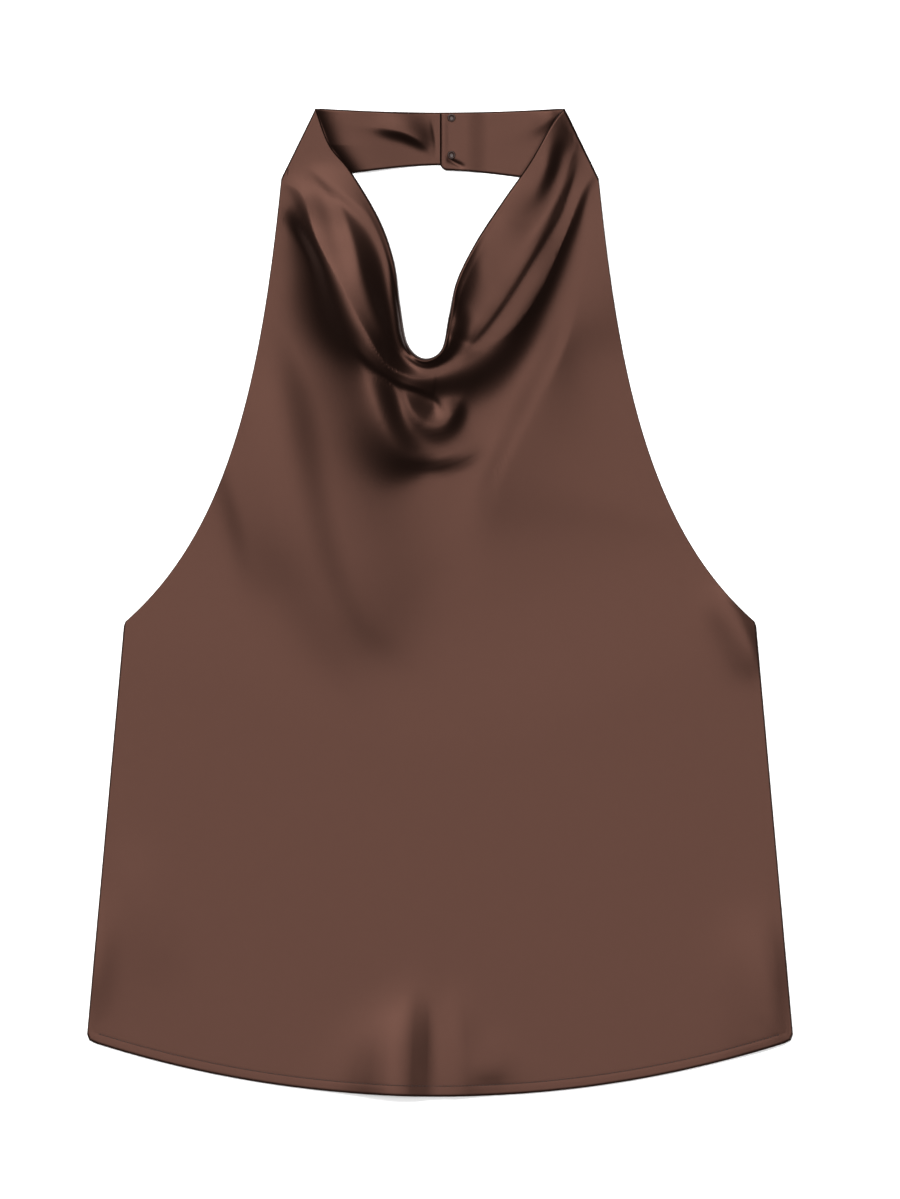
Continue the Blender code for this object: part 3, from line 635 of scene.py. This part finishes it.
# ================================================================ back panel
# The low back, one plain piece of the same satin under the front.  Its top edge is scooped between the
# side seams, and its lower edge has the same narrow hem as the front's.

BACK_COLUMNS = 121
BACK_ROWS = 60
BACK_SHARE = 0.6            # how much of the front's shallow folds the back under them takes on
BACK_ROUND = 3.0            # how far in from the hem's edge the back starts to turn down
BACK_DROP = 0.3


def back_height(plan):
    """Height of the back's top face: where it lies, and its share of the front's shallow folds."""
    return BACK_TOP + BACK_SHARE * soft_rise(plan)


across = np.linspace(-1, 1, BACK_COLUMNS)[:, None]
down = np.linspace(0, 1, BACK_ROWS)[None, :]
x_top = (side_x(BACK_TOP_Y) - BACK_INSET) * across
x_bottom = (HEM / 2 - BACK_INSET) * np.sin(across * np.pi / 2)
back_x = x_top * (1 - down) + x_bottom * down
back_y = back_top_y(x_top) * (1 - down) + (hem_y(x_bottom) + BACK_INSET) * down
back_plan = np.stack([back_x, back_y], axis=-1)
back_top = np.concatenate([back_plan, back_height(back_plan)[..., None]], axis=-1)
back_above_hem = back_y - hem_y(back_x)
back_top[..., 2] -= BACK_DROP * (1 - ease_step(back_above_hem / BACK_ROUND))
back = cloth_shell("back_cloth", back_top, SATIN_WALL, front_satin, back_plan)
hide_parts("back_panel")
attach(back, "root")


# ================================================================ neckband
# Two short strips of doubled satin that close the halter behind the neck.  Each is sewn to the front at
# the fold at the side of the neck, and the right one's end lies on the left one's.

CLOSURE_X = 0.0
OVERLAP = 16.0              # how far one end of the neckband lies over the other
SEAM_GAP = 0.3
BAND_TUCK = 2.0             # how far inside the knee the band's lower corner lies
BAND_WALL = 0.8
BAND_TOP = 1.0              # top face of the half that rests on the surface
BAND_COLUMNS = 200
BAND_ROWS = 80
BAND_ROUND = 1.4            # how far in from an edge the band starts to turn down
BAND_DROP = 0.7             # how far it turns down there
PUFF = 4.2                  # how far the left half stands up in its middle
PUFF_WAY = 8.0              # and how fast it gets there from the strip's edge
PUFF_END = 72.0             # where it starts to come down again towards the closure
END_CORNER = 5.4            # size of the rounded corner of the end that lies on top

# Folds and creases of each half, in the columns of FOLDS.
LEFT_BAND_FOLDS = {
    "drag": (
        (-46.2, 324, 0, 14, 5, 2), (-36, 322.5, 2.2, 14, 5, 2), (-25, 320, 3.2, 12, 5, 2),
        (-16.5, 316, 2.8, 10, 4.5, 2), (-10.5, 311.5, 1.2, 8, 4, 2), (-7, 308, 0, 6, 3, 2)),
    "end_crease": (
        (-6, 330, 0, 2.2, 1.6, 2), (-4.2, 321, -0.3, 2.2, 1.6, 2), (-2.8, 310, -0.2, 2, 1.6, 2),
        (-3.4, 300, 0, 1.8, 1.5, 2)),
}
RIGHT_BAND_FOLDS = {
    "rolled_end": ((3, 332, 0.2, 2.2, 2.2, 2), (2.8, 318, 0.3, 2.2, 2.2, 2), (3, 303, 0.2, 2.2, 2.2, 2)),
    "pucker": ((4, 303, 0, 1.8, 1.8, 2), (8, 300, -0.8, 1.8, 1.8, 2), (13, 297.5, -0.7, 1.8, 1.8, 2),
        (18, 295.5, 0, 1.8, 1.8, 2)),
    "corner": (
        (60, 322, 0, 14, 8, 2), (68, 325, 1.4, 12, 6, 2), (76, 331, 1.6, 8, 5, 2), (81, 334, 0, 6, 4, 2)),
}


def strip_edge(y):
    """How far from the middle the neckline's edge runs over the neckband, at a height y."""
    points = sorted((y_at, abs(x_at)) for x_at, y_at in NECKLINE[:3])
    return np.interp(y, *np.array(points).T)


def band(name, side, height, folds, lifted):
    """Half of the neckband; side is -1 on the left and +1 on the right, and the lifted half lies on top."""
    end_x = CLOSURE_X if lifted else CLOSURE_X + OVERLAP
    v = np.linspace(0, 1, BAND_ROWS)[None, :]
    u = np.linspace(0, 1, BAND_COLUMNS)[:, None]
    start_x = side * ((CORNER[0] - SEAM_GAP) * (1 - v) + (KNEE[0] - BAND_TUCK) * v)
    x = start_x * (1 - u) + end_x * u
    top, bottom = band_edges(x, height)
    top = np.minimum(top, CORNER[1] - SEAM_GAP)
    if lifted:
        past = np.clip(1 - side * (x - end_x) / END_CORNER, 0, 1)
        bottom = bottom + END_CORNER * (1 - np.sqrt(1 - past ** 2))
    y = top * (1 - v) + bottom * v
    plan = np.stack([x, y], axis=-1)
    z = np.full_like(x, BAND_TOP)
    z += sum(fold_height(plan, stations) for stations in folds.values())
    if lifted:
        z += STEP_UP * ease_step(1 + (OVERLAP + 1 - side * x) / EASE)
    else:
        from_strip = np.maximum(strip_edge(y) - side * x, 0)
        z += PUFF * (1 - np.exp(-from_strip / PUFF_WAY)) * ease_step((end_x - OVERLAP - x) / PUFF_END)
    from_edge = np.minimum(np.minimum(top - y, y - bottom), side * (x - end_x))
    z -= BAND_DROP * (1 - np.clip(from_edge / BAND_ROUND, 0, 1)) ** 2
    piece = cloth_shell(name, np.dstack([x, y, z]), BAND_WALL, front_satin, plan)
    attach(piece, "root")
    return piece


band_left = band("band_left", -1, BAND_HEIGHT_LEFT, LEFT_BAND_FOLDS, False)
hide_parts("neckband_left")
band_right = band("band_right", 1, BAND_HEIGHT_RIGHT, RIGHT_BAND_FOLDS, True)
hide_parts("neckband_right")


# ================================================================ buttons
# Two small turned buttons hold the overlapping end of the neckband down.  Each has a raised rim round a
# dished middle.

BUTTON_X = CLOSURE_X + 7.8
BUTTON_SEAT = 2.45          # the band's top face under the buttons
UPPER_BUTTON_Y = 329.5
LOWER_BUTTON_Y = 304.2
BUTTON_SIDES = 40
BUTTON_BROWN = (0.026, 0.011, 0.008, 1.0)
BUTTON_SHADE = (0.018, 0.008, 0.006, 1.0)

# Radius and height of the turned profile, from the middle of the back round the rim to the dish.
BUTTON_PROFILE = (
    (0, 0), (2.2, 0), (2.55, 0.2), (2.7, 0.6), (2.68, 1.05), (2.5, 1.42), (2.2, 1.6), (1.9, 1.5),
    (1.65, 1.15), (1.3, 0.95), (0.7, 0.88), (0, 0.88),
)


def horn(name):
    """Polished brown button: clouded with darker streaks and a little glossy."""
    material, tree, shader = new_material(name)
    place = tree.nodes.new("ShaderNodeTexCoord")
    clouds = tree.nodes.new("ShaderNodeTexNoise")
    clouds.inputs["Scale"].default_value = 700.0
    clouds.inputs["Detail"].default_value = 3.0
    tree.links.new(place.outputs["Object"], clouds.inputs["Vector"])
    colour = two_tones(tree, clouds.outputs["Fac"], BUTTON_SHADE, BUTTON_BROWN)
    tree.links.new(colour, shader.inputs["Base Color"])
    shader.inputs["Roughness"].default_value = 0.42
    shader.inputs["Specular IOR Level"].default_value = 0.3
    return material


def turned(name, profile, place, sides, material):
    """A body turned from a profile of (radius, height) pairs whose two ends lie on the axis."""
    rings = np.array(profile[1:-1])
    turn = np.arange(sides) * 2 * np.pi / sides
    circle = np.stack([np.cos(turn), np.sin(turn)], axis=-1)
    points = np.concatenate([
        (rings[:, None, :1] * circle).reshape(-1, 2), [(0, 0), (0, 0)]])
    heights = np.concatenate([np.repeat(rings[:, 1], sides), [profile[0][1], profile[-1][1]]])
    points = np.column_stack([points, heights]) + place
    index = np.arange(len(rings) * sides).reshape(len(rings), sides)
    after = np.roll(index, -1, axis=1)
    a, b, c, d = index[:-1], after[:-1], after[1:], index[1:]
    bottom, top = len(points) - 2, len(points) - 1
    faces = np.concatenate([
        np.stack([a, b, c], -1).reshape(-1, 3), np.stack([a, c, d], -1).reshape(-1, 3),
        np.stack([np.full(sides, bottom), after[0], index[0]], -1),
        np.stack([np.full(sides, top), index[-1], after[-1]], -1)])
    return make_piece(name, points, faces, material)


button_horn = horn("button_horn")
for name, y in (("upper", UPPER_BUTTON_Y), ("lower", LOWER_BUTTON_Y)):
    seat = (BUTTON_X, y, BUTTON_SEAT)
    button = turned(f"button_{name}_disc", BUTTON_PROFILE, seat, BUTTON_SIDES, button_horn)
    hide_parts(f"button_{name}")
    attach(button, "root")


# ================================================================ hem stitches
# One line of short stitches holds the turned hem of each panel.  They lie in the satin's outer face and
# show as dark dashes: their thread is coloured darker as painted shade, standing in for the shade where the
# stitches sink into the cloth.

STITCH_STEP = 2.4           # from the middle of one stitch to the next
STITCH_LENGTH = 1.7
STITCH_RADIUS = 0.32
STITCH_LIFT = 0.10          # how far the thread's middle stands above the cloth
STITCH_SIDES = 8
HEM_LINE_POINTS = 4001
# Both thread tones are darkened with painted shade, standing in for the shade where the stitches sink into
# the satin.
STITCH_SHADED_BROWN = (0.016, 0.007, 0.005, 1.0)
STITCH_SHADE = (0.009, 0.004, 0.003, 1.0)

# A stitch's rings: how far along it each lies, from its middle, and its share of the radius.
STITCH_RINGS = ((-0.5, 0.05), (-0.42, 0.7), (-0.25, 1.0), (0.25, 1.0), (0.42, 0.7), (0.5, 0.05))


def thread(name):
    """Matt sewing thread with a twist of finer threads running round it, its colour darkened with painted
    shade.
    """
    material, tree, shader = new_material(name)
    place = tree.nodes.new("ShaderNodeTexCoord")
    twist = tree.nodes.new("ShaderNodeTexWave")
    twist.bands_direction = "DIAGONAL"
    twist.inputs["Scale"].default_value = 900.0
    tree.links.new(place.outputs["Object"], twist.inputs["Vector"])
    colour = two_tones(tree, twist.outputs["Fac"], STITCH_SHADE, STITCH_SHADED_BROWN)
    tree.links.new(colour, shader.inputs["Base Color"])
    shader.inputs["Roughness"].default_value = 0.75
    return material


def stitches(name, surface_height, material):
    """A row of capsules along the line of the hem's stitches, their middles at the surface's height."""
    reach = HEM / 2 - HEM_CORNER
    x = np.linspace(-reach, reach, HEM_LINE_POINTS)
    y = hem_y(x) + HEM_WIDTH
    run = run_lengths(np.stack([x, y], axis=-1))
    middles = np.arange(STITCH_STEP, run[-1] - STITCH_STEP, STITCH_STEP)
    steps, sizes = np.array(STITCH_RINGS).T
    at = middles[:, None] + steps * STITCH_LENGTH
    spine = np.stack([np.interp(at, run, x), np.interp(at, run, y)], axis=-1)
    heading = np.gradient(spine, axis=1)
    heading /= np.linalg.norm(heading, axis=-1, keepdims=True)
    turn = np.arange(STITCH_SIDES) * 2 * np.pi / STITCH_SIDES
    radius = STITCH_RADIUS * sizes[:, None]
    sideways = np.cos(turn) * radius
    z = surface_height(spine)[..., None] + np.sin(turn) * radius
    x = spine[..., :1] - heading[..., 1:] * sideways
    y = spine[..., 1:] + heading[..., :1] * sideways
    points = np.stack([x, y, z], axis=-1)
    rings = len(steps)
    index = np.arange(rings * STITCH_SIDES).reshape(rings, STITCH_SIDES)
    after = np.roll(index, -1, axis=1)
    a, b, c, d = index[:-1], after[:-1], after[1:], index[1:]
    fan = np.arange(1, STITCH_SIDES - 1)
    one = np.concatenate([
        np.stack([a, c, b], -1).reshape(-1, 3), np.stack([a, d, c], -1).reshape(-1, 3),
        np.stack([np.zeros_like(fan), fan, fan + 1], -1),
        np.stack([index[-1, 0] + 0 * fan, index[-1, 0] + fan + 1, index[-1, 0] + fan], -1)])
    faces = (one + (np.arange(len(middles)) * rings * STITCH_SIDES)[:, None, None]).reshape(-1, 3)
    piece = make_piece(name, points.reshape(-1, 3), faces, material)
    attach(piece, "root")
    return piece


hem_thread_painted_shade = thread("hem_thread_painted_shade")
stitches("front_hem_stitches", lambda line: front_underside(line) + FRONT_TOP + STITCH_LIFT, hem_thread_painted_shade)
stitches("back_hem_stitches", lambda line: back_height(line) - SATIN_WALL + STITCH_LIFT, hem_thread_painted_shade)


# ================================================================ surface, light and camera
# A plain pale table top, two large soft lights, one beyond the neck and one overhead, and a camera
# straight above.

FLOOR_REACH = 4.0
FLOOR_Z = -0.0003
floor_mesh = bpy.data.meshes.new("floor")
floor_mesh.from_pydata([
    (-FLOOR_REACH, -FLOOR_REACH, FLOOR_Z), (FLOOR_REACH, -FLOOR_REACH, FLOOR_Z),
    (FLOOR_REACH, FLOOR_REACH, FLOOR_Z), (-FLOOR_REACH, FLOOR_REACH, FLOOR_Z),
], [], [(0, 1, 2, 3)])
floor = bpy.data.objects.new("floor", floor_mesh)
bpy.context.scene.collection.objects.link(floor)
pale, _, pale_shader = new_material("pale_surface")
pale_shader.inputs["Base Color"].default_value = (0.93, 0.93, 0.93, 1)
pale_shader.inputs["Roughness"].default_value = 0.9
floor_mesh.materials.append(pale)


def soft_light(name, place, width, height, power):
    """A rectangular soft light that points at the middle of the garment."""
    data = bpy.data.lights.new(name, "AREA")
    data.shape = "RECTANGLE"
    data.size, data.size_y = width, height
    data.energy = power
    light = bpy.data.objects.new(name, data)
    light.location = place
    place = np.asarray(place, float)
    back_way = place / np.linalg.norm(place)
    light.rotation_euler = (np.arccos(back_way[2]), 0, np.arctan2(back_way[0], -back_way[1]))
    bpy.context.scene.collection.objects.link(light)
    return light


# Name, place, width and height in metres, and power in watts.
for light in (
    ("key", (-2.6, 9.55, 18.6), 16.8, 5.4, 6900),
    ("overhead", (0.0, 0.0, 23.0), 18.0, 6.0, 4750),
):
    soft_light(*light)

# The room is dark overhead and has a paler band round its foot.
ROOM_LIGHT = 0.01
HAZE_LIGHT = 0.3            # light of the pale band
HAZE_FULL = 0.2             # the band is full up to this upward part of the way looked
HAZE_END = 0.4              # and gone above this one
world = bpy.data.worlds.new("room")
world.use_nodes = True
room, join = world.node_tree.nodes, world.node_tree.links.new
room["Background"].inputs["Color"].default_value = (1, 1, 1, 1)
way = room.new("ShaderNodeTexCoord")
upward = room.new("ShaderNodeSeparateXYZ")
join(way.outputs["Generated"], upward.inputs["Vector"])
haze = room.new("ShaderNodeMapRange")
haze.interpolation_type = "SMOOTHSTEP"
haze.inputs["From Min"].default_value = HAZE_FULL
haze.inputs["From Max"].default_value = HAZE_END
haze.inputs["To Min"].default_value = HAZE_LIGHT
haze.inputs["To Max"].default_value = ROOM_LIGHT
join(upward.outputs["Z"], haze.inputs["Value"])
join(haze.outputs["Result"], room["Background"].inputs["Strength"])
bpy.context.scene.world = world
bpy.context.scene.view_settings.view_transform = "Standard"
bpy.context.scene.view_settings.gamma = 0.9

CAMERA_HEIGHT = 20.0
FRAME_HEIGHT = 0.8153       # how much of the surface the picture takes in, from top to bottom
FRAME_MIDDLE = (0.0068, 0.0020)
lens = bpy.data.cameras.new("camera")
lens.sensor_width = 36.0
lens.lens = lens.sensor_width * CAMERA_HEIGHT / FRAME_HEIGHT
camera = bpy.data.objects.new("camera", lens)
camera.location = (*FRAME_MIDDLE, CAMERA_HEIGHT)
bpy.context.scene.collection.objects.link(camera)
bpy.context.scene.camera = camera
